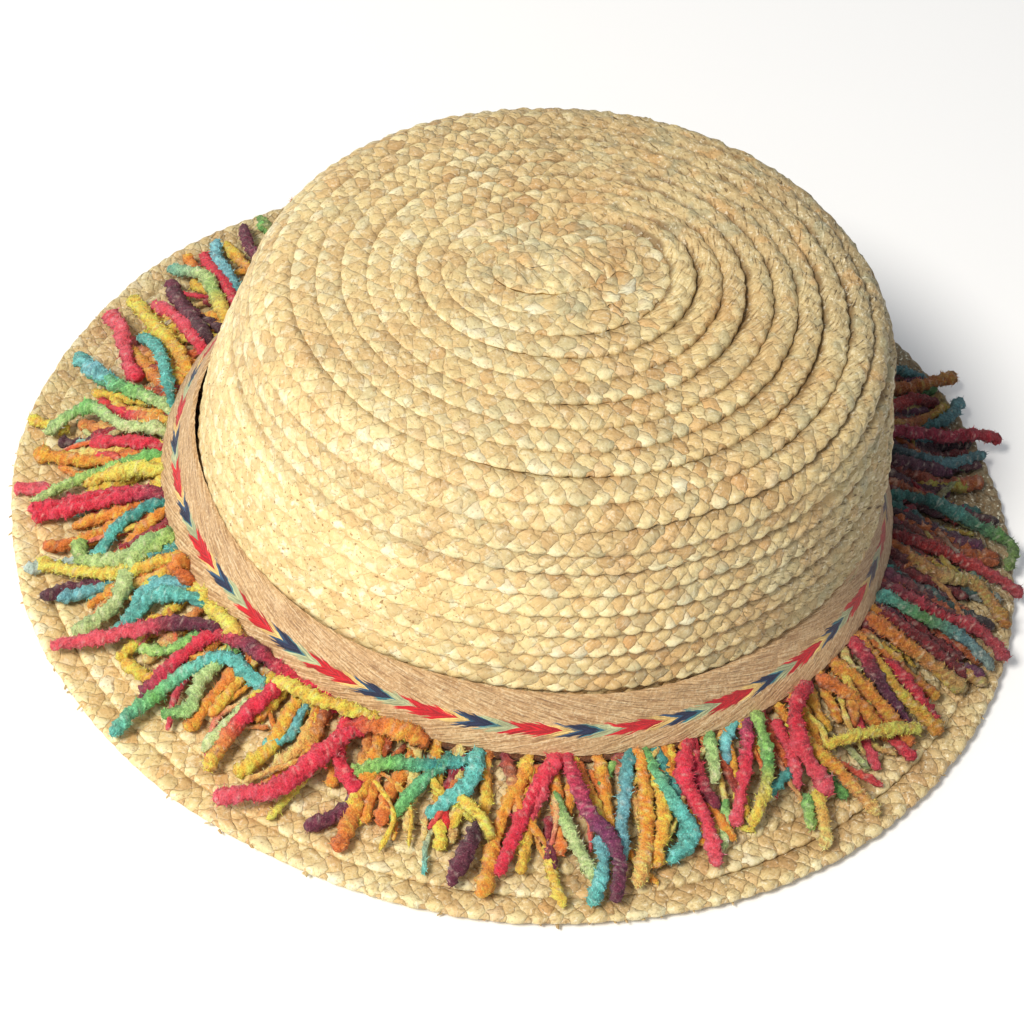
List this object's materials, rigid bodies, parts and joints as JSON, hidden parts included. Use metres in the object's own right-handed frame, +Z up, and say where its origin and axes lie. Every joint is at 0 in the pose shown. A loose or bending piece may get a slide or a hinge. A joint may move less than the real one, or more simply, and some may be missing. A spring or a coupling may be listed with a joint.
{
  "type": "straw hat",
  "caption": "Straw hat with an oval crown and a gently drooping round brim of sewn plait, a woven chevron band and a fringe of coloured yarn; open underneath for a head.",
  "frame": {"origin": "under the middle of the hat, on the surface that the brim rests on", "axes": "+Z up, out of the top of the crown; +X along the head, the crown's longer way; +Y across the head"},
  "size_m": [0.292, 0.276, 0.0953],
  "materials": {
    "crown_straw": "sewn wheat straw plait, satin, cream to golden tan",
    "brim_straw": "sewn wheat straw plait, satin, golden tan",
    "band_jute": "matt jute ribbon with chevrons in red, orange, navy and pale green",
    "fringe_yarn": "matt boucle yarn in crimson, orange, yellow, green, turquoise and plum"
  },
  "bodies": {
    "root": {"crown": "crown_straw", "brim": "brim_straw", "band": "band_jute", "fringe": "fringe_yarn"}
  },
  "joints": []
}
